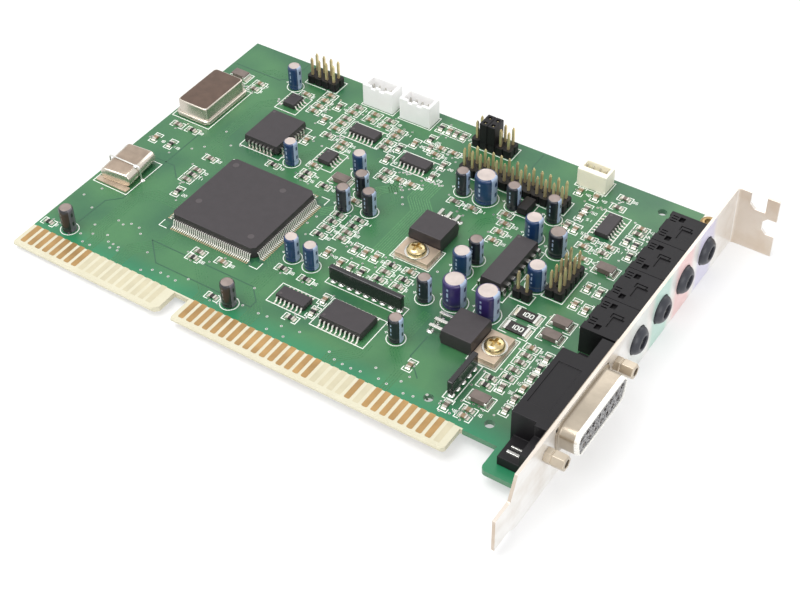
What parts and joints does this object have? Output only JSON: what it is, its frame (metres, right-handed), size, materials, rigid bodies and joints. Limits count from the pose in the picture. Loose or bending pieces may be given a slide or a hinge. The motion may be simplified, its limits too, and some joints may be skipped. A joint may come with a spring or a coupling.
{
  "type": "isa sound card",
  "caption": "Green expansion board with gold edge contacts, a steel slot bracket, audio jacks, a game port, chips, capacitors and pin headers.",
  "frame": {"origin": "on the component face, at the first edge contact, level with the top of the contacts", "axes": "+X along the board towards the bracket, +Y away from the edge connector, +Z out of the component face"},
  "size_m": [0.1696, 0.1242, 0.0184],
  "materials": {
    "solder_mask": "satin green mask on glass fibre",
    "gold": "thin bright plating",
    "bracket_steel": "satin plated sheet",
    "black_moulding": "moulded, slightly glossy",
    "connector_steel": "tinned",
    "grey_insulator": "fine grain",
    "pin_metal": "plated",
    "white_moulding": "moulded",
    "cream_moulding": "moulded",
    "chip_moulding": "fine matt",
    "tin": "tin plated",
    "screw_brass": "dull plated",
    "can_metal": "satin drawn can",
    "blue_sleeve": "shrunk sleeve",
    "black_sleeve": "shrunk sleeve",
    "brown_sleeve": "shrunk sleeve",
    "purple_sleeve": "shrunk sleeve",
    "ceramic_tan": "fired",
    "resistor_black": "glazed"
  },
  "bodies": {
    "root": {"pcb": "solder_mask", "gold_contacts": "gold", "bracket": "bracket_steel", "line_in_jack": "black_moulding", "microphone_jack": "black_moulding", "line_out_jack": "black_moulding", "speaker_jack": "black_moulding", "game_port_body": "black_moulding", "game_port_shell": "connector_steel", "game_port_insulator": "grey_insulator", "game_port_jackscrews": "connector_steel", "game_port_board_clip": "tin", "aux_header_base": "black_moulding", "jumper_header_base": "black_moulding", "wave_header_base": "black_moulding", "speaker_header_base": "black_moulding", "link_header_base": "black_moulding", "header_pins": "pin_metal", "jumper_caps": "black_moulding", "cd_audio_plug": "white_moulding", "aux_audio_plug": "white_moulding", "telephone_plug": "cream_moulding", "main_chip_body": "chip_moulding", "main_chip_leads": "tin", "memory_chip_body": "chip_moulding", "memory_chip_leads": "tin", "clock_chip_body": "chip_moulding", "switch_chip_body": "chip_moulding", "buffer_chip_body": "chip_moulding", "gate_chip_body": "chip_moulding", "opamp_chip_body": "chip_moulding", "logic_chip_body": "chip_moulding", "codec_chip_body": "chip_moulding", "small_chip_leads": "tin", "amplifier_body": "chip_moulding", "amplifier_leads": "tin", "first_regulator_tab": "tin", "second_regulator_tab": "tin", "first_regulator_body": "chip_moulding", "second_regulator_body": "chip_moulding", "regulator_legs": "tin", "regulator_screws": "screw_brass", "long_network": "black_moulding", "short_network": "black_moulding", "network_pins": "tin", "oscillator_can": "can_metal", "crystal_can": "can_metal", "crystal_strap": "tin", "blue_capacitors": "blue_sleeve", "black_capacitors": "black_sleeve", "brown_capacitors": "brown_sleeve", "purple_capacitors": "purple_sleeve", "chip_capacitors": "ceramic_tan", "chip_resistors": "resistor_black", "wide_resistors": "resistor_black", "chip_inductors": "black_moulding", "choke_block": "black_moulding"}
  },
  "joints": []
}
